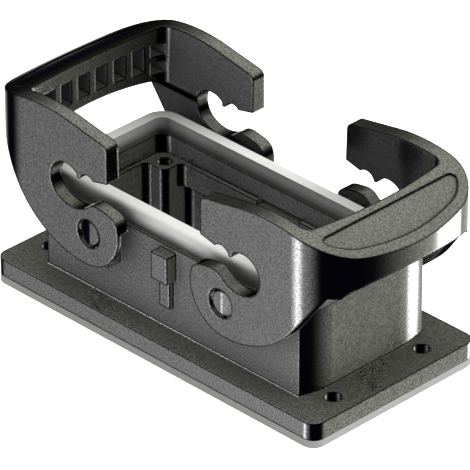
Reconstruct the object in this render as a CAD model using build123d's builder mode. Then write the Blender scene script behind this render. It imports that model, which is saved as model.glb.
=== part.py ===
"""Bulkhead mounted housing of a heavy duty rectangular connector, with two locking levers.

Millimetres. The origin is the middle of the underside of the flange gasket, X runs along
the housing, and +Z is up. The levers are modelled closed.
"""

import os
from math import atan2, cos, degrees, radians, sin, sqrt, tan

from build123d import *

# Flange and flange gasket
flange_length = 116.0
flange_width = 59.0
flange_thickness = 4.95
flange_corner = 3.5
gasket_thickness = 2.1
gasket_margin = 1.3
screw_spacing_x = 103.0
screw_spacing_y = 32.0
screw_hole = 4.4

# Body, a tall box with slightly bowed ends
body_length = 94.6
body_width = 44.2
body_top = 31.1
end_flat = 24.6
end_bow = 29.0
base_fillet = 0.4

# Opening for the insert: a collar, a narrow ledge and the shaft below it
collar_length = 86.6
collar_width = 34.6
collar_corner = 3.0
ledge_height = 25.6
ledge_width = 1.2
wall_slot_length = 15.2
wall_slot_height = 1.3
wall_slot_depth = 2.8
low_shaft_height = 18.9
low_shaft_relief = 2.75

# Corner posts that the insert is screwed to
insert_spacing_x = 77.5
insert_spacing_y = 27.0
post_half = 3.5
post_corner = 1.75
post_bore = 4.0
post_bore_depth = 12.0

# Rim seal, with a foot that is pressed into a groove in the body's top
seal_length = 94.8
seal_width = 42.6
seal_height = 5.0
seal_corner = 6.2
seal_round = 1.4
foot_width = 1.5
foot_depth = 2.4
foot_inset = 2.4
foot_clearance = 0.05

# Coding ribs, one on each long side, a block with a narrower stem below
rib_offset = 0.9
rib_block_width = 5.66
rib_block_height = 7.8
rib_block_depth = 3.4
rib_block_top = 29.8
rib_stem_width = 3.7
rib_stem_height = 8.3
rib_stem_depth = 1.5

# Pivots: a pad on the long side, and a peg with a ramp that the lever snaps over
pivot_x = 23.8
pivot_z = 27.4
pad_radius = 5.4
pad_drop = 8.5
pad_proud = 4.6
peg_radius = 3.93
peg_reach = 1.0
peg_chamfer = 0.7
peg_ramp = 0.95
hinge_clearance = 0.07
pad_clearance = 0.1
sweep_clearance = 0.6

# Levers, seen from above: a U with a bowed bar
lever_width = 56.2
lever_reach = 65.2
lever_bow = 66.3
lever_corner = 15.0
arm_gap_top = 48.2
arm_gap_low = 47.2
arm_low_z = 41.5
leg_gap_width = 48.8
leg_step_height = 2.4
bar_thickness = 13.8
bar_inner_bow = 165.0
bar_corner = 2.5
lever_open = 52.0

# Levers, seen from the side
nose_x = 16.75
nose_round = 2.0
nose_slope = 10.0
crown_x = 39.5
crown_z = 58.6
crown_radius = 50.0
foot_x = 25.06
foot_z = 30.1
foot_radius = 12.1
foot_start = 168.0
profile_overrun = 1.0
under_radius = 29.4
under_angle = 54.0
under_end_z = 42.0
slot_x = 31.7
slot_z = 39.15
slot_radius = 5.8
slot_floor_radius = 9.4
slot_blend_angle = 62.8
slot_floor_start = 226.7
slot_end_angle = 133.0
tooth_x = 27.2
tooth_z = 42.35
tooth_half = 0.5
throat_x = 21.9
throat_z = 43.55
throat_rise = 0.9
mouth_z = 44.7
lobe_x = 18.2
lobe_z = 36.15
relief_height = 3.35

# Grip bar of each lever: an arched underside, a shallow recess on top and pockets inside
arch_z = 46.0
arch_radius = 150.0
arch_corner = 5.0
arch_tilt = 9.5
recess_inset = 2.8
recess_depth = 0.45
recess_width = 8.9
recess_corner = 1.5
pocket_count = 6
pocket_pitch = 6.3
pocket_width = 3.9
pocket_floor = 2.8
pocket_top = 53.0
pocket_depth = 5.0
pocket_lead = 4.0
corner_pocket_z = 44.1
corner_pocket_width = 3.8
corner_pocket_depth = 4.2
corner_pocket_height = 3.4
corner_pocket_rib = 1.8

os.makedirs("parts", exist_ok=True)

flange_top = gasket_thickness + flange_thickness
half_body = body_width / 2
shaft_length = collar_length - 2 * ledge_width
shaft_width = collar_width - 2 * ledge_width
pad_face = half_body + pad_proud
plate_inner = pad_face + pad_clearance
half_lever = lever_width / 2
bar_inner = lever_reach - bar_thickness
recess_start = lever_reach - recess_inset - recess_width
low_shaft_width = shaft_width + 2 * low_shaft_relief
leg_top_z = arm_low_z - leg_step_height
lever_tall = crown_z + under_radius


# Flange gasket
with BuildPart() as flange_gasket:
    with BuildSketch():
        RectangleRounded(flange_length, flange_width, flange_corner)
        RectangleRounded(
            shaft_length + 2 * gasket_margin,
            low_shaft_width + 2 * gasket_margin,
            collar_corner,
            mode=Mode.SUBTRACT,
        )
        with GridLocations(screw_spacing_x, screw_spacing_y, 2, 2):
            Circle(screw_hole / 2, mode=Mode.SUBTRACT)
    extrude(amount=gasket_thickness)
flange_gasket.part.label = "flange_gasket"
export_step(flange_gasket.part, "parts/flange_gasket.step")


# Housing: flange, body, coding ribs, pads and pegs, all one casting
with BuildPart() as housing:
    with BuildSketch(Plane.XY.offset(gasket_thickness)):
        RectangleRounded(flange_length, flange_width, flange_corner)
    extrude(amount=flange_thickness)

    # Body outline: flat sides and ends, and a shallow arc from each end to its corner
    arc_width = half_body - end_flat / 2
    arc_drop = end_bow - sqrt(end_bow**2 - arc_width**2)
    with BuildSketch(Plane.XY.offset(flange_top)):
        with BuildLine():
            end_x = body_length / 2
            bow_middle_y = end_flat / 2 + arc_width / 2
            bow_middle_x = end_x - end_bow + sqrt(end_bow**2 - (arc_width / 2) ** 2)
            flat_end = Line((end_x, 0), (end_x, end_flat / 2))
            bow = ThreePointArc(
                flat_end @ 1, (bow_middle_x, bow_middle_y), (end_x - arc_drop, half_body)
            )
            Line(bow @ 1, (0, half_body))
            mirror(about=Plane.XZ)
            mirror(about=Plane.YZ)
        make_face()
    extrude(amount=body_top - flange_top)
    flange_face = housing.faces().filter_by(Plane.XY).group_by(Axis.Z)[1][0]
    fillet(flange_face.inner_wires()[0].edges(), radius=base_fillet)

    # Coding ribs on both long sides
    for side in (-1, 1):
        rib_plane = Plane(
            origin=(side * rib_offset, side * half_body, 0),
            x_dir=(-side, 0, 0),
            z_dir=(0, side, 0),
        )
        block_middle = rib_block_top - rib_block_height / 2
        stem_middle = rib_block_top - rib_block_height - rib_stem_height / 2
        with BuildSketch(rib_plane):
            with Locations((0, block_middle)):
                Rectangle(rib_block_width, rib_block_height)
        extrude(amount=rib_block_depth)
        with BuildSketch(rib_plane):
            with Locations((0, stem_middle)):
                Rectangle(rib_stem_width, rib_stem_height)
        extrude(amount=rib_stem_depth)

    # Pads with a round top, and the pegs on them
    for side in (-1, 1):
        side_plane = Plane(origin=(0, side * half_body, 0), x_dir=(-side, 0, 0), z_dir=(0, side, 0))
        with BuildSketch(side_plane):
            with Locations((-pivot_x, pivot_z), (pivot_x, pivot_z)):
                Circle(pad_radius)
            with Locations((-pivot_x, pivot_z - pad_drop / 2), (pivot_x, pivot_z - pad_drop / 2)):
                Rectangle(2 * pad_radius, pad_drop)
        extrude(amount=pad_proud)
        with BuildSketch(side_plane.offset(pad_proud)):
            with Locations((-pivot_x, pivot_z), (pivot_x, pivot_z)):
                Circle(peg_radius)
        extrude(amount=peg_reach)
    peg_plane = half_body + pad_proud + peg_reach
    peg_rims = housing.edges().filter_by(GeomType.CIRCLE)
    peg_rims = peg_rims.filter_by(lambda rim: abs(abs(rim.center().Y) - peg_plane) < peg_ramp / 10)
    chamfer(peg_rims, length=peg_chamfer)

    # The outboard half of each peg slopes back, so that a lever can snap over it
    for side in (-1, 1):
        for end in (-1, 1):
            with BuildSketch(Plane.XY.offset(pivot_z - pad_radius)):
                with BuildLine():
                    Polyline(
                        (end * pivot_x, side * peg_plane),
                        (end * (pivot_x + peg_radius), side * (peg_plane - peg_ramp)),
                        (end * (pivot_x + peg_radius), side * peg_plane),
                        close=True,
                    )
                make_face()
            extrude(amount=2 * pad_radius, mode=Mode.SUBTRACT)

    # The pads end flush with the top of the body
    with BuildSketch(Plane.XY.offset(body_top)):
        with GridLocations(0, 2 * half_body + pad_proud, 1, 2):
            Rectangle(flange_length, pad_proud)
    extrude(amount=pad_radius, mode=Mode.SUBTRACT)

    # Shaft and collar that take the insert, with a post left standing in each corner
    with BuildSketch(Plane.XY.offset(gasket_thickness)):
        Rectangle(shaft_length, insert_spacing_y - 2 * post_half)
        Rectangle(insert_spacing_x - 2 * post_half, shaft_width)
        fillet(vertices(), radius=post_corner)
    extrude(amount=body_top - gasket_thickness, mode=Mode.SUBTRACT)
    with BuildSketch(Plane.XY.offset(gasket_thickness)):
        Rectangle(shaft_length, insert_spacing_y - 2 * post_half)
        Rectangle(insert_spacing_x - 2 * post_half, low_shaft_width)
        fillet(vertices(), radius=post_corner)
    extrude(amount=low_shaft_height - gasket_thickness, mode=Mode.SUBTRACT)
    with BuildSketch(Plane.XY.offset(ledge_height)):
        RectangleRounded(collar_length, collar_width, collar_corner)
    extrude(amount=body_top - ledge_height, mode=Mode.SUBTRACT)

    # A bore in each post for the insert's screw
    with BuildSketch(Plane.XY.offset(ledge_height)):
        with GridLocations(insert_spacing_x, insert_spacing_y, 2, 2):
            Circle(post_bore / 2)
    extrude(amount=-post_bore_depth, mode=Mode.SUBTRACT)

    # A narrow slot under the ledge in the middle of each long wall
    with BuildSketch(Plane.XY.offset(ledge_height - wall_slot_height)):
        Rectangle(wall_slot_length, shaft_width + 2 * wall_slot_depth)
    extrude(amount=wall_slot_height, mode=Mode.SUBTRACT)

    # Groove for the foot of the rim seal
    groove_width = foot_width + 2 * foot_clearance
    with BuildSketch(Plane.XY.offset(body_top)):
        RectangleRounded(
            seal_length - 2 * foot_inset + groove_width,
            seal_width - 2 * foot_inset + groove_width,
            seal_corner - foot_inset + groove_width / 2,
        )
        RectangleRounded(
            seal_length - 2 * foot_inset - groove_width,
            seal_width - 2 * foot_inset - groove_width,
            seal_corner - foot_inset - groove_width / 2,
            mode=Mode.SUBTRACT,
        )
    extrude(amount=-foot_depth - foot_clearance, mode=Mode.SUBTRACT)

    # Screw holes of the flange
    with BuildSketch(Plane.XY.offset(gasket_thickness)):
        with GridLocations(screw_spacing_x, screw_spacing_y, 2, 2):
            Circle(screw_hole / 2)
    extrude(amount=flange_thickness, mode=Mode.SUBTRACT)
housing.part.label = "housing"
export_step(housing.part, "parts/housing.step")


# Rim seal
with BuildPart() as rim_seal:
    with BuildSketch(Plane.XY.offset(body_top)):
        RectangleRounded(seal_length, seal_width, seal_corner)
    extrude(amount=seal_height)
    top_edges = rim_seal.faces().sort_by(Axis.Z)[-1].edges()
    fillet(top_edges, radius=seal_round)
    with BuildSketch(Plane.XY.offset(body_top)):
        RectangleRounded(
            seal_length - 2 * foot_inset + foot_width,
            seal_width - 2 * foot_inset + foot_width,
            seal_corner - foot_inset + foot_width / 2,
        )
    extrude(amount=-foot_depth)
    with BuildSketch(Plane.XY.offset(body_top - foot_depth)):
        RectangleRounded(
            seal_length - 2 * foot_inset - foot_width,
            seal_width - 2 * foot_inset - foot_width,
            seal_corner - foot_inset - foot_width / 2,
        )
    extrude(amount=foot_depth, mode=Mode.SUBTRACT)
    with BuildSketch(Plane.XY.offset(body_top - foot_depth)):
        RectangleRounded(collar_length, collar_width, collar_corner)
    extrude(amount=foot_depth + seal_height, mode=Mode.SUBTRACT)
rim_seal.part.label = "rim_seal"
export_step(rim_seal.part, "parts/rim_seal.step")


def polar_point(centre_x, centre_z, radius, angle):
    """The point of a circle at an angle in degrees, in the plane of the lever's side."""
    return (
        centre_x + radius * cos(radians(angle)),
        centre_z + radius * sin(radians(angle)),
    )


# Outline of the space between the arms of a lever, open at the noses
with BuildPart() as arm_gap:
    bar_edge_y = arm_gap_top / 2
    bar_edge_x = bar_inner - bar_inner_bow + sqrt(bar_inner_bow**2 - bar_edge_y**2)
    with BuildSketch():
        with Locations((bar_inner - bar_inner_bow, 0)):
            Circle(bar_inner_bow)
        with Locations((bar_inner / 2, 0)):
            Rectangle(bar_inner, leg_gap_width, mode=Mode.INTERSECT)
    extrude(amount=lever_tall)
    with BuildSketch(Plane.YZ):
        with BuildLine():
            Polyline(
                (0, 0),
                (leg_gap_width / 2, 0),
                (leg_gap_width / 2, leg_top_z),
                (arm_gap_low / 2, arm_low_z),
                (arm_gap_top / 2, crown_z),
                (arm_gap_top / 2, lever_tall),
                (0, lever_tall),
            )
            mirror(about=Plane.YZ)
        make_face()
    extrude(amount=lever_reach, mode=Mode.INTERSECT)
    bar_side_x = (bar_edge_x + bar_inner) / 2
    bar_ends = arm_gap.edges().filter_by_position(Axis.X, bar_edge_x - bar_corner, bar_side_x)
    fillet(bar_ends, radius=bar_corner)


# The legs of a lever are thinner below the bar, along their whole length
with BuildPart() as leg_gap:
    with BuildSketch(Plane.YZ):
        with BuildLine():
            Polyline(
                (0, 0),
                (leg_gap_width / 2, 0),
                (leg_gap_width / 2, leg_top_z),
                (arm_gap_low / 2, arm_low_z),
                (0, arm_low_z),
            )
            mirror(about=Plane.YZ)
        make_face()
    extrude(amount=lever_bow)


# Space under the arched grip bar
with BuildPart() as bar_arch:
    inner_arch_z = arch_z - (lever_reach - bar_inner) * sin(radians(arch_tilt))
    arch_plane = Plane(
        origin=(bar_inner, 0, inner_arch_z),
        x_dir=(0, 1, 0),
        z_dir=(cos(radians(arch_tilt)), 0, sin(radians(arch_tilt))),
    )
    arch_side = arm_gap_low / 2
    arch_drop = arch_radius - sqrt(arch_radius**2 - arch_side**2)
    with BuildSketch(arch_plane):
        with BuildLine():
            ThreePointArc((-arch_side, -arch_drop), (0, 0), (arch_side, -arch_drop))
            Polyline(
                (arch_side, -arch_drop),
                (arch_side, -under_radius),
                (-arch_side, -under_radius),
                (-arch_side, -arch_drop),
            )
        make_face()
        fillet(vertices().group_by(Axis.Y)[-1], radius=arch_corner)
    extrude(amount=lever_reach - bar_inner + lever_corner)
    tilt_run = under_radius * sin(radians(arch_tilt))
    extrude(bar_arch.faces().sort_by(Axis.X)[0], amount=bar_corner + tilt_run)


# Relief behind the pivots of a lever, where the arms are thin plates over the pads
with BuildPart() as pivot_relief:
    relief_half = pad_radius + sweep_clearance
    relief_drop = pad_drop + sweep_clearance
    pad_reach = sqrt(relief_half**2 + relief_drop**2)
    pad_spread = degrees(atan2(relief_half, relief_drop))
    with BuildSketch(Plane.XZ):
        with Locations((pivot_x, pivot_z)):
            Circle(relief_half)
        with BuildLine():
            sweep = CenterArc((pivot_x, pivot_z), pad_reach, 270, lever_open + pad_spread)
            Polyline(sweep @ 1, (pivot_x, pivot_z), sweep @ 0)
        make_face()
        with Locations(Location((pivot_x, pivot_z, 0), lever_open)):
            Rectangle(2 * relief_half, relief_drop, align=(Align.CENTER, Align.MAX))
        with Locations((pivot_x / 2, (pivot_z + relief_height) / 2)):
            Rectangle(pivot_x, pivot_z + relief_height)
    extrude(amount=plate_inner, both=True)


# Shallow recess in the top of a grip bar, as deep everywhere as the top is high
with BuildPart() as grip_recess:
    with BuildSketch():
        with Locations((lever_reach - lever_bow, 0)):
            Circle(lever_bow - recess_inset)
        with Locations((lever_bow / 2, 0)):
            Rectangle(lever_bow * 2, lever_width - 2 * recess_inset, mode=Mode.INTERSECT)
        fillet(vertices().group_by(Axis.X)[-1], radius=lever_corner - recess_inset)
        with Locations((recess_start + lever_reach / 2, 0)):
            Rectangle(lever_reach, lever_width, mode=Mode.INTERSECT)
        fillet(vertices().group_by(Axis.X)[0], radius=recess_corner)
    extrude(amount=lever_tall)
    with BuildSketch(Plane.XZ):
        with Locations((crown_x, crown_z - crown_radius)):
            Circle(crown_radius + recess_depth)
            Circle(crown_radius - recess_depth, mode=Mode.SUBTRACT)
    extrude(amount=lever_width, both=True, mode=Mode.INTERSECT)


# Lever, all one moulding: two arms with hooked slots, and a grip bar
with BuildPart() as lever_right:
    nose_top = crown_z - crown_radius + crown_radius * cos(radians(nose_slope))
    crown_start = crown_x - crown_radius * sin(radians(nose_slope))
    crown_end = lever_reach + profile_overrun
    with BuildSketch(Plane.XZ):
        with BuildLine():
            nose_z = nose_top - (crown_start - nose_x) * tan(radians(nose_slope))
            nose_line = Line((nose_x, nose_z), (crown_start, nose_top))
            crown_end_z = crown_z - crown_radius + sqrt(crown_radius**2 - (crown_end - crown_x) ** 2)
            crown = ThreePointArc((crown_start, nose_top), (crown_x, crown_z), (crown_end, crown_end_z))
            under_centre_z = foot_z + under_radius - foot_radius
            under_end = polar_point(foot_x, under_centre_z, under_radius, 270 + under_angle)
            rise_x = (under_end_z - under_end[1]) * cos(radians(under_angle)) / sin(radians(under_angle))
            Polyline(
                crown @ 1,
                (crown_end, under_end_z),
                (under_end[0] + rise_x, under_end_z),
                under_end,
            )
            under = CenterArc((foot_x, under_centre_z), under_radius, 270, under_angle)
            foot = CenterArc((foot_x, foot_z), foot_radius, foot_start, 270 - foot_start)
            floor_x = slot_x - (slot_floor_radius - slot_radius) * cos(radians(slot_blend_angle))
            floor_z = slot_z + (slot_floor_radius - slot_radius) * sin(radians(slot_blend_angle))
            slot_floor = CenterArc(
                (floor_x, floor_z),
                slot_floor_radius,
                slot_floor_start,
                360 - slot_blend_angle - slot_floor_start,
            )
            slot_end = CenterArc(
                (slot_x, slot_z), slot_radius, -slot_blend_angle, slot_blend_angle + slot_end_angle
            )
            Spline(
                foot @ 0,
                (lobe_x, lobe_z),
                slot_floor @ 0,
                tangents=(
                    (sin(radians(foot_start)), -cos(radians(foot_start))),
                    (-sin(radians(slot_floor_start)), cos(radians(slot_floor_start))),
                ),
            )
            tooth = ThreePointArc(
                slot_end @ 1,
                (tooth_x, tooth_z),
                (tooth_x - tooth_half, tooth_z + tooth_half / 2),
            )
            throat = ThreePointArc(
                tooth @ 1,
                ((tooth_x + throat_x) / 2 - tooth_half, throat_z + throat_rise),
                (throat_x, throat_z),
            )
            Polyline(throat @ 1, (nose_x, mouth_z), nose_line @ 0)
        make_face()
        nose_corner = vertices().sort_by_distance(nose_line @ 0)[0]
        fillet(nose_corner, radius=nose_round)
    extrude(amount=half_lever, both=True)

    # Outline from above
    with BuildSketch():
        with Locations((lever_reach - lever_bow, 0)):
            Circle(lever_bow)
        with Locations((lever_bow / 2, 0)):
            Rectangle(lever_bow * 2, lever_width, mode=Mode.INTERSECT)
        far_corners = vertices().group_by(Axis.X)[-1]
        fillet(far_corners, radius=lever_corner)
    extrude(amount=lever_tall, mode=Mode.INTERSECT)

    add(arm_gap.part, mode=Mode.SUBTRACT)
    add(leg_gap.part, mode=Mode.SUBTRACT)
    add(bar_arch.part, mode=Mode.SUBTRACT)
    add(pivot_relief.part, mode=Mode.SUBTRACT)
    add(grip_recess.part, mode=Mode.SUBTRACT)

    # Snap holes for the pegs
    with BuildSketch(Plane.XZ):
        with Locations((pivot_x, pivot_z)):
            Circle(peg_radius + hinge_clearance)
    extrude(amount=lever_width, both=True, mode=Mode.SUBTRACT)

    # Pockets in the inner side of the grip bar, whose floors follow the arch
    for pocket in range(pocket_count):
        pocket_y = (pocket - (pocket_count - 1) / 2) * pocket_pitch
        pocket_z = inner_arch_z - pocket_y**2 / (2 * arch_radius) + pocket_floor
        with BuildSketch(Plane.YZ.offset(bar_inner - pocket_lead)):
            with Locations((pocket_y, (pocket_z + pocket_top) / 2)):
                Rectangle(pocket_width, pocket_top - pocket_z)
        extrude(amount=pocket_lead + pocket_depth, mode=Mode.SUBTRACT)

    # Two more pockets, one above the other, in each corner beside the arms
    for side in (-1, 1):
        for level in range(2):
            corner_y = side * (arm_gap_low - corner_pocket_width) / 2
            corner_z = corner_pocket_z + level * (corner_pocket_height + corner_pocket_rib)
            with BuildSketch(Plane.YZ.offset(bar_edge_x - pocket_lead)):
                with Locations((corner_y, corner_z + corner_pocket_height / 2)):
                    Rectangle(corner_pocket_width, corner_pocket_height)
            extrude(amount=pocket_lead + corner_pocket_depth, mode=Mode.SUBTRACT)
lever_right.part.label = "lever_right"
export_step(lever_right.part, "parts/lever_right.step")


# The other lever is the same moulding, turned round
with BuildPart() as lever_left:
    add(lever_right.part, rotation=(0, 0, 180))
lever_left.part.label = "lever_left"
export_step(lever_left.part, "parts/lever_left.step")
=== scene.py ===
"""Studio scene of a bulkhead connector housing with two locking levers.

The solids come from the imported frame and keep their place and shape. This file gives each
of them its finish and sets up the floor, the light and the camera. Lengths are in metres.
"""

import logging
import math
from dataclasses import dataclass, field
from enum import Enum
from typing import Any, Iterable

import bpy
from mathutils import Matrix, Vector

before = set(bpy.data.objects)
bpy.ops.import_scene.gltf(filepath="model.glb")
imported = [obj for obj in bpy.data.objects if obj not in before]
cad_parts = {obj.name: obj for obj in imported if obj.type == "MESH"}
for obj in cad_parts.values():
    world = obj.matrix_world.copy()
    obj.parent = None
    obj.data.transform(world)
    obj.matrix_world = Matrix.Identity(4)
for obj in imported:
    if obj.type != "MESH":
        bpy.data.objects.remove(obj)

Socket = bpy.types.NodeSocket
Colour = tuple[float, float, float, float]
Span = tuple[float, float]

LOG = logging.getLogger("connector")
MM = 0.001
HALF_TURN = 180.0
ZERO_TO_ONE: Span = (0.0, 1.0)

# The shares of red and blue that a warmth of 1 takes from a grey.
RED_LOSS = 0.2
BLUE_LOSS = 2.0


def grey(value: float, warmth: float = 0.0) -> Colour:
    """Return a grey as linear colour, turned a little toward yellow by its warmth."""
    return (value * (1 - RED_LOSS * warmth), value, value * (1 - BLUE_LOSS * warmth), 1.0)


BLACK = grey(0.0)


class Slot(Enum):
    """Material slots of the record."""

    CASTING = "casting"
    LEVER = "lever"
    SEAL = "seal"
    GASKET = "gasket"


class Blend(Enum):
    """How a Mix node puts one colour over another."""

    COVER = "MIX"
    DARKEN = "MULTIPLY"
    BRIGHTEN = "ADD"


class Board:
    """Adds shader nodes to a tree and wires them up by socket name or number."""

    # A Mix node has a pair of inputs for each kind of value. These are the ones in use.
    NUMBER_PAIR = (2, 3)
    COLOUR_PAIR = (6, 7)
    COLOUR_RESULT = 2

    def __init__(self, tree: bpy.types.NodeTree) -> None:
        """Start on a tree.

        Args:
            tree: The node tree of a material, a world or a group.
        """
        self.tree = tree

    def add(self, kind: str, inputs: dict[str | int, Any] | None = None, **settings: Any) -> bpy.types.Node:
        """Add a node, set its properties and fill its inputs.

        Args:
            kind: The node's type, such as ShaderNodeMath.
            inputs: Values or output sockets, by the input's name or number.
            settings: Properties of the node itself.

        Returns:
            The new node.
        """
        node = self.tree.nodes.new(kind)
        for name, value in settings.items():
            setattr(node, name, value)
        self.fill(node, inputs or {})
        return node

    def fill(self, node: bpy.types.Node, inputs: dict[str | int, Any]) -> None:
        """Link or set a node's inputs.

        Args:
            node: A node of this tree.
            inputs: Values or output sockets, by the input's name or number.
        """
        for key, value in inputs.items():
            if isinstance(value, Socket):
                self.tree.links.new(value, node.inputs[key])
            else:
                node.inputs[key].default_value = value

    def place(self, group: bpy.types.NodeTree, inputs: dict[str, float] | None = None) -> Any:
        """Put a shader group in the tree and return its outputs."""
        return self.add("ShaderNodeGroup", inputs, node_tree=group).outputs

    def math(self, operation: str, *values: Any) -> Socket:
        """Return the result of one scalar operation on values or sockets."""
        return self.add("ShaderNodeMath", dict(enumerate(values)), operation=operation).outputs[0]

    def split(self, vector: Socket) -> tuple[Socket, ...]:
        """Return the X, Y and Z of a vector."""
        return tuple(self.add("ShaderNodeSeparateXYZ", {0: vector}).outputs)

    def remap(self, value: Socket, source: Span, target: Span = ZERO_TO_ONE, smooth: bool = False) -> Socket:
        """Move a value from one range to another and hold it at the ends.

        Args:
            value: The value to move.
            source: The range that it comes from.
            target: The range that it goes to.
            smooth: Whether it eases in and out, instead of a straight change.

        Returns:
            The moved value.
        """
        inputs = {
            "Value": value,
            "From Min": source[0],
            "From Max": source[1],
            "To Min": target[0],
            "To Max": target[1],
        }
        kind = "SMOOTHSTEP" if smooth else "LINEAR"
        return self.add("ShaderNodeMapRange", inputs, interpolation_type=kind).outputs["Result"]

    def mix(self, factor: Socket, first: Any, second: Any, blend: Blend = Blend.COVER) -> Socket:
        """Mix one colour with another.

        Args:
            factor: How much of the second colour shows, from 0 to 1.
            first: The colour below, as a value or a socket.
            second: The colour put over it, as a value or a socket.
            blend: How the second colour is put over the first.

        Returns:
            The mixed colour.
        """
        low, high = self.COLOUR_PAIR
        inputs = {"Factor": factor, low: first, high: second}
        node = self.add("ShaderNodeMix", inputs, data_type="RGBA", blend_type=blend.value)
        return node.outputs[self.COLOUR_RESULT]

    def average(self, share: float, first: Socket, second: Socket) -> Socket:
        """Return one number mixed with a share of another."""
        low, high = self.NUMBER_PAIR
        return self.add("ShaderNodeMix", {"Factor": share, low: first, high: second}).outputs[0]


class GroupBoard(Board):
    """Board of a new shader group with named number sockets."""

    def __init__(self, name: str, inputs: dict[str, float], outputs: tuple[str, ...]) -> None:
        """Make the group.

        Args:
            name: The group's name.
            inputs: Default value of each input.
            outputs: Name of each output.
        """
        super().__init__(bpy.data.node_groups.new(name, "ShaderNodeTree"))
        sockets = self.tree.interface
        for label, value in inputs.items():
            sockets.new_socket(label, in_out="INPUT", socket_type="NodeSocketFloat").default_value = value
        for label in outputs:
            sockets.new_socket(label, in_out="OUTPUT", socket_type="NodeSocketFloat")
        self.given = self.add("NodeGroupInput").outputs

    def give(self, results: dict[str | int, Any]) -> bpy.types.NodeTree:
        """Link the group's outputs and return the group."""
        self.add("NodeGroupOutput", results)
        return self.tree


class MaterialBoard(Board):
    """Board of a new material with its shader."""

    def __init__(self, name: str) -> None:
        """Make the material.

        Args:
            name: The material's name.
        """
        self.material = bpy.data.materials.new(name)
        self.material.use_nodes = True
        super().__init__(self.material.node_tree)
        self.shader = self.tree.nodes["Principled BSDF"]

    def coat(self, inputs: dict[str | int, Any]) -> None:
        """Link or set the shader's own inputs."""
        self.fill(self.shader, inputs)

    def leave_out(self, where: Socket) -> None:
        """Make the surface clear where a mask is 1.

        Args:
            where: The mask, 0 where the surface is seen.
        """
        clear = self.add("ShaderNodeBsdfTransparent").outputs[0]
        surface = self.add("ShaderNodeMixShader", {0: where, 1: self.shader.outputs[0], 2: clear})
        self.fill(self.tree.nodes["Material Output"], {"Surface": surface.outputs[0]})


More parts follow.
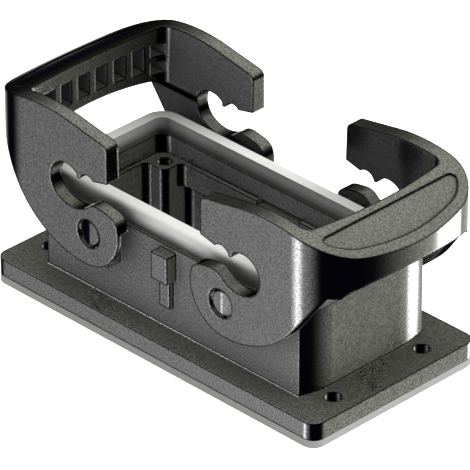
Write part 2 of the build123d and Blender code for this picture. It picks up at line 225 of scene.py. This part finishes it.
@dataclass
class SurfaceEffects:
    """Shader groups that more than one finish uses.

    A span names the two values of a measure where its mask begins and where it is full.
    """

    fine_detail: float = 2.0
    fine_roughness: float = 0.6
    coarse_detail: float = 1.0
    coarse_ratio: float = 0.42
    coarse_share: float = 0.4
    speckle_span: Span = (0.42, 0.58)
    cloud_detail: float = 3.0
    cloud_span: Span = (0.3, 0.7)
    sky_samples: int = 8
    bevel_samples: int = 6
    inside_span: Span = (-0.3, -0.6)
    under_span: Span = (-0.15, -0.5)
    least_distance: float = 1 * MM
    reflection_line_span: Span = (0.993, 0.955)
    grain: bpy.types.NodeTree = field(init=False)
    mottle: bpy.types.NodeTree = field(init=False)
    painted_nook_shade: bpy.types.NodeTree = field(init=False)
    inner_side: bpy.types.NodeTree = field(init=False)
    painted_edge_reflection: bpy.types.NodeTree = field(init=False)

    def __post_init__(self) -> None:
        """Build every group once."""
        self.grain = self._grain()
        self.mottle = self._mottle()
        self.painted_nook_shade = self._painted_nook_shade()
        self.inner_side = self._inner_side()
        self.painted_edge_reflection = self._painted_edge_reflection()

    def _grain(self) -> bpy.types.NodeTree:
        """Make the fine cast or moulded grain.

        Returns:
            The group, with a height and a speckle mask.
        """
        board = GroupBoard("fine_grain", {"Grains per metre": 1600.0}, ("Height", "Speckle"))
        place = board.add("ShaderNodeTexCoord").outputs["Object"]
        close = board.given["Grains per metre"]
        wide = board.math("MULTIPLY", close, self.coarse_ratio)
        fine_inputs = {"Scale": close, "Detail": self.fine_detail, "Roughness": self.fine_roughness}
        fine = board.add("ShaderNodeTexNoise", {"Vector": place} | fine_inputs)
        coarse_inputs = {"Scale": wide, "Detail": self.coarse_detail}
        coarse = board.add("ShaderNodeTexNoise", {"Vector": place} | coarse_inputs)
        height = board.average(self.coarse_share, fine.outputs[0], coarse.outputs[0])
        return board.give({"Height": height, "Speckle": board.remap(height, self.speckle_span)})

    def _mottle(self) -> bpy.types.NodeTree:
        """Make the slow cloudy change of tone over a surface.

        Returns:
            The group, with a cloud mask.
        """
        board = GroupBoard("slow_mottle", {"Clouds per metre": 60.0}, ("Cloud",))
        place = board.add("ShaderNodeTexCoord").outputs["Object"]
        inputs = {"Vector": place, "Scale": board.given["Clouds per metre"], "Detail": self.cloud_detail}
        noise = board.add("ShaderNodeTexNoise", inputs)
        return board.give({"Cloud": board.remap(noise.outputs[0], self.cloud_span)})

    def _painted_nook_shade(self) -> bpy.types.NodeTree:
        """Make the share of the open sky that a spot has, low in corners, slots and gaps; it darkens colour
        as painted shade.

        Returns:
            The group, with the openness.
        """
        board = GroupBoard("nook_shade", {"Reach": 0.02, "Depth": 1.5}, ("Openness",))
        inputs = {"Distance": board.given["Reach"]}
        sky = board.add("ShaderNodeAmbientOcclusion", inputs, samples=self.sky_samples)
        return board.give({"Openness": board.math("POWER", sky.outputs["AO"], board.given["Depth"])})

    def _inner_side(self) -> bpy.types.NodeTree:
        """Make the masks of the faces that look inward, and of undersides, for painted shade.

        Inward is toward the upright line at the middle distance on the spot's own side, and
        only near the long axis.

        Returns:
            The group, with both masks.
        """
        board = GroupBoard("inner_side", {"Middle": 0.0, "Half width": 0.02}, ("Inside", "Under"))
        coordinates = board.add("ShaderNodeTexCoord").outputs
        x, y, _ = board.split(coordinates["Object"])
        facing_x, facing_y, facing_z = board.split(coordinates["Normal"])
        along = board.math("SUBTRACT", board.math("ABSOLUTE", x), board.given["Middle"])
        squares = board.math("ADD", board.math("POWER", along, 2.0), board.math("POWER", y, 2.0))
        distance = board.math("MAXIMUM", board.math("SQRT", squares), self.least_distance)
        signed = board.math("MULTIPLY", along, board.math("SIGN", x))
        outward = board.math("MULTIPLY", signed, facing_x)
        outward = board.math("ADD", outward, board.math("MULTIPLY", y, facing_y))
        outward = board.math("DIVIDE", outward, distance)
        near = board.math("LESS_THAN", board.math("ABSOLUTE", y), board.given["Half width"])
        inside = board.math("MULTIPLY", near, board.remap(outward, self.inside_span))
        return board.give({"Inside": inside, "Under": board.remap(facing_z, self.under_span)})

    def _painted_edge_reflection(self) -> bpy.types.NodeTree:
        """Make the mask of a painted reflection: a thin dark line along every edge, where a rounding would
        mirror the dark horizon.

        Returns:
            The group, with the line's mask.
        """
        board = GroupBoard("painted_edge_reflection", {"Radius": 0.4 * MM}, ("Line",))
        inputs = {"Radius": board.given["Radius"]}
        rounded = board.add("ShaderNodeBevel", inputs, samples=self.bevel_samples).outputs[0]
        flat = board.add("ShaderNodeNewGeometry").outputs["Normal"]
        likeness = board.add("ShaderNodeVectorMath", {0: rounded, 1: flat}, operation="DOT_PRODUCT")
        return board.give({"Line": board.remap(likeness.outputs["Value"], self.reflection_line_span)})


@dataclass(frozen=True)
class NookShade:
    """Painted shade in corners, slots and gaps: how far around it a surface looks for neighbours, and how
    strongly they darken its colour.
    """

    reach: float
    depth: float

    def over(self, board: Board, effects: SurfaceEffects, tone: Socket) -> Socket:
        """Return a tone darkened by painted shade in corners, slots and gaps."""
        place = board.place(effects.painted_nook_shade, {"Reach": self.reach, "Depth": self.depth})
        return board.mix(place["Openness"], BLACK, tone)


@dataclass(frozen=True)
class InnerShade:
    """Painted shade: tone of faces that look inward, and of undersides where it is given.

    The middle is the distance from the centre along X, and half is how far to each side of
    the long axis the faces reach.
    """

    tone: float
    half: float
    middle: float = 0.0
    under: float | None = None

    def over(self, board: Board, effects: SurfaceEffects, tone: Socket) -> Socket:
        """Darken a tone with painted shade on the inner sides, and on undersides where given.

        Args:
            board: The material's board.
            effects: The shared shader groups.
            tone: The colour so far.

        Returns:
            The darkened colour.
        """
        sides = board.place(effects.inner_side, {"Middle": self.middle, "Half width": self.half})
        tone = board.mix(sides["Inside"], tone, grey(self.tone), blend=Blend.DARKEN)
        # Painted shade on undersides, where an under tone is given.
        if self.under is None:
            return tone
        return board.mix(sides["Under"], tone, grey(self.under))


@dataclass(frozen=True)
class FootShade:
    """Painted shade on the part that stands low in its groove, between two heights."""

    heights: Span
    openness: float = 0.12

    def over(self, board: Board, tone: Socket) -> Socket:
        """Return a tone darkened by painted shade below the heights."""
        height = board.split(board.add("ShaderNodeTexCoord").outputs["Object"])[2]
        return board.mix(board.remap(height, self.heights, (self.openness, 1.0)), BLACK, tone)


@dataclass(frozen=True)
class GrainedFinish:
    """Dark satin finish with a fine grain, as on the casting and the levers, with painted shade and a
    painted edge reflection in its colour.
    """

    name: str
    dark: Colour
    light: Colour
    roughness: float
    grains: float
    painted_nook_shade: NookShade
    inner: InnerShade
    mirrored_from: float | None = None
    metallic: float = 1.0
    grain_depth: float = 0.004 * MM
    rounding: float = 0.8 * MM
    reflection_line_ratio: float = 0.9
    cloud_share: float = 0.15
    roughness_change: Span = (1.2, 0.85)

    def material(self, effects: SurfaceEffects) -> bpy.types.Material:
        """Build the finish.

        Args:
            effects: The shared shader groups.

        Returns:
            The material.
        """
        board = MaterialBoard(self.name)
        grain = board.place(effects.grain, {"Grains per metre": self.grains})
        ends = (self.roughness * self.roughness_change[0], self.roughness * self.roughness_change[1])
        board.coat({
            "Base Color": self._tone(board, effects, grain["Speckle"]),
            "Roughness": board.remap(grain["Speckle"], ZERO_TO_ONE, ends),
            "Normal": self._relief(board, effects, grain["Height"]),
            "Metallic": self.metallic,
        })
        if self.mirrored_from is not None:
            self._hide_from_near(board, self.mirrored_from)
        return board.material

    def _tone(self, board: Board, effects: SurfaceEffects, speckle: Socket) -> Socket:
        """Mix the base colour of grain and clouds, darkened by painted shade in nooks and inside and by a
        painted reflection line along edges.

        Args:
            board: The material's board.
            effects: The shared shader groups.
            speckle: Mask of the grain's bright specks.

        Returns:
            The base colour.
        """
        cloud = board.place(effects.mottle)["Cloud"]
        line = board.place(effects.painted_edge_reflection, {"Radius": self.rounding * self.reflection_line_ratio})["Line"]
        tone = board.mix(speckle, self.dark, self.light)
        tone = board.mix(board.remap(cloud, ZERO_TO_ONE, (0.0, self.cloud_share)), tone, self.dark)
        # Painted shade in nooks, on inner sides and on undersides.
        tone = self.painted_nook_shade.over(board, effects, tone)
        tone = self.inner.over(board, effects, tone)
        # Painted reflection: a dark line along every edge.
        return board.mix(line, tone, BLACK)

    def _relief(self, board: Board, effects: SurfaceEffects, height: Socket) -> Socket:
        """Lay the grain over softly rounded edges.

        Args:
            board: The material's board.
            effects: The shared shader groups.
            height: Height of the grain.

        Returns:
            The surface normal.
        """
        edge = board.add("ShaderNodeBevel", {"Radius": self.rounding}, samples=effects.bevel_samples)
        inputs = {"Height": height, "Distance": self.grain_depth, "Normal": edge.outputs[0]}
        return board.add("ShaderNodeBump", inputs).outputs[0]

    def _hide_from_near(self, board: MaterialBoard, distance: float) -> None:
        """Leave the piece out of reflections in surfaces nearer than a distance.

        Args:
            board: The material's board.
            distance: Length of the mirrored ray from which the piece shows.
        """
        path = board.add("ShaderNodeLightPath").outputs
        near = board.math("LESS_THAN", path["Ray Length"], distance)
        board.leave_out(board.math("MULTIPLY", path["Is Glossy Ray"], near))


@dataclass(frozen=True)
class ElastomerFinish:
    """Pale matt elastomer, as on the rim seal and the flange gasket."""

    name: str
    pale: Colour
    dusty: Colour
    roughness: float
    painted_nook_shade: NookShade
    inner: InnerShade | None = None
    foot: FootShade | None = None
    grains: float = 1300.0
    clouds: float = 90.0
    cloud_share: float = 0.6
    speckle_share: float = 0.3
    grain_depth: float = 0.02 * MM
    roughness_change: float = 1.15
    specular: float = 0.3

    def material(self, effects: SurfaceEffects) -> bpy.types.Material:
        """Build the finish.

        Args:
            effects: The shared shader groups.

        Returns:
            The material.
        """
        board = MaterialBoard(self.name)
        grain = board.place(effects.grain, {"Grains per metre": self.grains})
        cloud = board.place(effects.mottle, {"Clouds per metre": self.clouds})["Cloud"]
        ends = (self.roughness, self.roughness * self.roughness_change)
        bump = board.add("ShaderNodeBump", {"Height": grain["Height"], "Distance": self.grain_depth})
        board.coat({
            "Base Color": self._tone(board, effects, grain["Speckle"], cloud),
            "Roughness": board.remap(cloud, ZERO_TO_ONE, ends),
            "Normal": bump.outputs[0],
            "Specular IOR Level": self.specular,
        })
        return board.material

    def _tone(self, board: Board, effects: SurfaceEffects, speckle: Socket, cloud: Socket) -> Socket:
        """Mix the base colour of dusty clouds and specks, darkened by painted shade where it is sheltered.

        Args:
            board: The material's board.
            effects: The shared shader groups.
            speckle: Mask of the grain's specks.
            cloud: Mask of the clouds.

        Returns:
            The base colour.
        """
        clouded = board.remap(cloud, ZERO_TO_ONE, (0.0, self.cloud_share))
        speckled = board.remap(speckle, ZERO_TO_ONE, (0.0, self.speckle_share))
        tone = board.mix(clouded, self.pale, self.dusty)
        tone = board.mix(speckled, tone, self.dusty)
        # Painted shade in nooks, on inner sides and low down.
        tone = self.painted_nook_shade.over(board, effects, tone)
        if self.inner is not None:
            tone = self.inner.over(board, effects, tone)
        if self.foot is not None:
            tone = self.foot.over(board, tone)
        return tone


@dataclass
class FinishBook:
    """Every finish of the part, one for each material slot. The nook, inner and foot shades in them are
    painted shade.
    """

    effects: SurfaceEffects
    casting: GrainedFinish = GrainedFinish(
        name="satin_casting",
        dark=grey(0.13),
        light=grey(0.33),
        roughness=0.14,
        grains=4200.0,
        painted_nook_shade=NookShade(reach=45 * MM, depth=1.3),
        inner=InnerShade(tone=0.42, half=19 * MM, under=0.02),
        mirrored_from=68 * MM,
    )
    lever: GrainedFinish = GrainedFinish(
        name="satin_lever",
        dark=grey(0.12),
        light=grey(0.28),
        roughness=0.13,
        grains=4000.0,
        painted_nook_shade=NookShade(reach=50 * MM, depth=1.6),
        inner=InnerShade(tone=0.55, half=27.5 * MM, middle=35 * MM, under=0.02),
    )
    seal: ElastomerFinish = ElastomerFinish(
        name="pale_seal",
        pale=grey(0.57, -0.01),
        dusty=grey(0.51),
        roughness=0.55,
        painted_nook_shade=NookShade(reach=12 * MM, depth=1.0),
        inner=InnerShade(tone=0.46, half=20 * MM),
        foot=FootShade(heights=(32 * MM, 34.5 * MM)),
    )
    gasket: ElastomerFinish = ElastomerFinish(
        name="pale_gasket",
        pale=grey(0.27, -0.01),
        dusty=grey(0.24),
        roughness=0.6,
        painted_nook_shade=NookShade(reach=10 * MM, depth=1.0),
    )
    made: dict[Slot, bpy.types.Material] = field(default_factory=dict)

    def of(self, slot: Slot) -> bpy.types.Material:
        """Look up a slot's material, which is made on its first use.

        Args:
            slot: The material slot.

        Returns:
            The material.
        """
        if slot not in self.made:
            self.made[slot] = getattr(self, slot.value).material(self.effects)
        return self.made[slot]


@dataclass(frozen=True)
class DressedGroup:
    """CAD nodes that share a finish, and whether other surfaces mirror them."""

    slot: Slot
    nodes: tuple[str, ...]
    mirrored: bool = False

    def dress(self, finishes: FinishBook) -> None:
        """Give every node of the group its finish.

        Args:
            finishes: The book that holds the materials.
        """
        material = finishes.of(self.slot)
        for name in self.nodes:
            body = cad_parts[name]
            body.data.materials.clear()
            body.data.materials.append(material)
            body.visible_glossy = self.mirrored
            LOG.info("%s wears %s", name, material.name)


@dataclass(frozen=True)
class SoftBox:
    """A soft-edged patch of light in the surroundings, given in degrees.

    The azimuth counts from +X. The patch is full within flat of it and fades out beyond. In
    height it rises over the foot's span and falls over the head's.
    """

    name: str
    azimuth: float
    flat: float
    fade: float
    strength: float
    warmth: float = 0.0
    foot: Span = (-60.0, -45.0)
    head: Span = (-20.0, -11.0)

    def light(self, board: Board, turn: Socket, climb: Socket, under: Socket) -> Socket:
        """Add the patch to the surroundings.

        Args:
            board: The world's board.
            turn: Azimuth of a direction.
            climb: Elevation of a direction.
            under: Colour of the surroundings without this patch.

        Returns:
            The colour with the patch.
        """
        away = board.math("WRAP", board.math("SUBTRACT", turn, self.azimuth), HALF_TURN, -HALF_TURN)
        away = board.math("ABSOLUTE", away)
        share = board.remap(away, (self.flat + self.fade, self.flat), smooth=True)
        rise = board.remap(climb, self.foot)
        fall = board.remap(climb, self.head, (1.0, 0.0))
        share = board.math("MULTIPLY", share, board.math("MULTIPLY", rise, fall))
        lit = board.mix(share, under, grey(self.strength, self.warmth), blend=Blend.BRIGHTEN)
        lit.node.label = self.name
        return lit


@dataclass(frozen=True)
class Surroundings:
    """A gloom below the horizon, a sky that is brighter higher up, and soft boxes on both.

    Each step of the sky is an elevation in degrees and the brightness there.
    """

    gloom: Colour = (0.004, 0.004, 0.012, 1.0)
    horizon: Span = (-1.0, 1.0)
    sky_warmth: float = 0.07
    sky: tuple[Span, ...] = (
        (0.0, 0.005),
        (10.0, 0.015),
        (16.0, 0.11),
        (24.0, 0.2),
        (32.0, 0.5),
        (38.0, 0.85),
        (46.0, 1.15),
        (54.0, 0.95),
        (90.0, 1.0),
    )
    boxes: tuple[SoftBox, ...] = (
        SoftBox("wide_left", azimuth=-116.0, flat=6.0, fade=38.0, strength=0.9),
        SoftBox("wide_right", azimuth=64.0, flat=3.0, fade=41.0, strength=1.1, warmth=0.08),
        SoftBox(
            "wide_back", azimuth=128.0, flat=25.0, fade=25.0, strength=0.8, warmth=0.05,
            foot=(-42.0, -34.0),
        ),
        SoftBox(
            "strip_left", azimuth=-120.5, flat=0.0, fade=14.0, strength=4.2,
            foot=(-48.0, -40.0), head=(-24.0, -17.0),
        ),
        SoftBox(
            "strip_right", azimuth=67.5, flat=7.0, fade=3.0, strength=6.5,
            foot=(-48.0, -40.0), head=(-24.0, -17.0),
        ),
        SoftBox(
            "overhead", azimuth=-170.0, flat=25.0, fade=15.0, strength=4.5,
            foot=(38.0, 46.0), head=(58.0, 66.0),
        ),
    )

    def build(self) -> None:
        """Make the world and give it to the scene."""
        world = bpy.data.worlds.new("studio")
        bpy.context.scene.world = world
        world.use_nodes = True
        world.node_tree.nodes.clear()
        board = Board(world.node_tree)
        x, y, z = board.split(board.add("ShaderNodeTexCoord").outputs["Generated"])
        turn = board.math("DEGREES", board.math("ARCTAN2", y, x))
        climb = board.math("DEGREES", board.math("ARCSINE", z))
        colour = board.mix(board.remap(climb, self.horizon), self.gloom, self._sky(board, climb))
        for box in self.boxes:
            colour = box.light(board, turn, climb, colour)
        lit = board.add("ShaderNodeBackground", {"Color": colour})
        board.add("ShaderNodeOutputWorld", {"Surface": lit.outputs[0]})

    def _sky(self, board: Board, climb: Socket) -> Socket:
        """Make the sky's colour at an elevation.

        Args:
            board: The world's board.
            climb: Elevation of a direction.

        Returns:
            The colour.
        """
        zenith, middle = self.sky[-1][0], 0.5
        node = board.add("ShaderNodeValToRGB", {"Fac": board.math("DIVIDE", climb, zenith)})
        steps = node.color_ramp.elements
        while len(steps) < len(self.sky):
            steps.new(middle)
        for step, (height, value) in zip(steps, self.sky):
            step.position = height / zenith
            step.color = grey(value, self.sky_warmth)
        return node.outputs["Color"]


@dataclass(frozen=True)
class Floor:
    """Plain pale floor, just under the object.

    Glossy surfaces look past it, and it is clear from below.
    """

    half: float = 6.0
    height: float = -0.2 * MM
    tone: float = 0.9
    roughness: float = 0.9
    glow: float = 0.75

    def build(self) -> None:
        far, low = self.half, self.height
        corners = [(-far, -far, low), (far, -far, low), (far, far, low), (-far, far, low)]
        mesh = bpy.data.meshes.new("floor")
        mesh.from_pydata(corners, [], [(0, 1, 2, 3)])
        mesh.materials.append(self._material())
        floor = bpy.data.objects.new("floor", mesh)
        floor.visible_glossy = False
        floor.visible_shadow = False
        bpy.context.scene.collection.objects.link(floor)

    def _material(self) -> bpy.types.Material:
        """Make the floor's finish, with a glow of its own that keeps it nearly white.

        Returns:
            The material.
        """
        board = MaterialBoard("pale_floor")
        board.coat({
            "Base Color": grey(self.tone),
            "Roughness": self.roughness,
            "Specular IOR Level": 0.0,
            "Emission Color": grey(1.0),
            "Emission Strength": self.glow,
        })
        board.leave_out(board.add("ShaderNodeNewGeometry").outputs["Backfacing"])
        return board.material


@dataclass(frozen=True)
class SoftLamp:
    """Large soft lamp high on the camera's right, aimed at the origin."""

    size: float = 0.9
    power: float = 12.5
    place: tuple[float, float, float] = (0.65, 0.45, 0.7)

    def build(self) -> None:
        """Hang the lamp. Glossy surfaces don't mirror it."""
        lamp = bpy.data.lights.new("soft_top", "AREA")
        lamp.shape = "DISK"
        lamp.size = self.size
        lamp.energy = self.power
        light = bpy.data.objects.new("soft_top", lamp)
        light.location = self.place
        light.rotation_euler = (-Vector(self.place)).to_track_quat("-Z", "Y").to_euler()
        light.visible_glossy = False
        bpy.context.scene.collection.objects.link(light)


@dataclass(frozen=True)
class PhotoCamera:
    """Camera of the photograph, far away with a long lens.

    The angles are in degrees, and the azimuth counts from -Y toward +X. The lens, the sensor
    and the target are in millimetres.
    """

    azimuth: float = 45.154
    elevation: float = 30.916
    distance: float = 1410.7 * MM
    target_mm: tuple[float, float, float] = (0.370, 0.372, 25.34)
    lens: float = 424.44
    sensor: float = 36.0
    clip_start: float = 0.05

    def build(self) -> None:
        """Place the camera and make it the scene's own."""
        turn, climb = math.radians(self.azimuth), math.radians(self.elevation)
        level = math.cos(climb)
        back = Vector((math.sin(turn) * level, -math.cos(turn) * level, math.sin(climb)))
        view = bpy.data.cameras.new("camera")
        view.lens = self.lens
        view.sensor_width = self.sensor
        view.clip_start = self.clip_start
        camera = bpy.data.objects.new("camera", view)
        camera.location = Vector(self.target_mm) * MM + back * self.distance
        camera.rotation_euler = (-back).to_track_quat("-Z", "Y").to_euler()
        bpy.context.scene.collection.objects.link(camera)
        bpy.context.scene.camera = camera


@dataclass(frozen=True)
class Studio:
    """Everything that isn't the object."""

    floor: Floor = Floor()
    surroundings: Surroundings = Surroundings()
    lamp: SoftLamp = SoftLamp()
    camera: PhotoCamera = PhotoCamera()

    def build(self) -> None:
        """Set up the floor, the light and the camera."""
        for piece in (self.floor, self.surroundings, self.lamp, self.camera):
            piece.build()
            LOG.info("%s set up", type(piece).__name__)


def main() -> None:
    """Dress the part and set up the studio."""
    logging.basicConfig(level=logging.INFO, format="%(name)s: %(message)s")
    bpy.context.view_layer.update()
    bpy.context.scene.view_settings.view_transform = "Standard"
    finishes = FinishBook(SurfaceEffects())
    groups = (
        DressedGroup(Slot.CASTING, ("housing",), mirrored=True),
        DressedGroup(Slot.LEVER, ("lever_left", "lever_right")),
        DressedGroup(Slot.SEAL, ("rim_seal",)),
        DressedGroup(Slot.GASKET, ("flange_gasket",)),
    )
    for group in groups:
        group.dress(finishes)
    Studio().build()


if __name__ == "__main__":
    main()
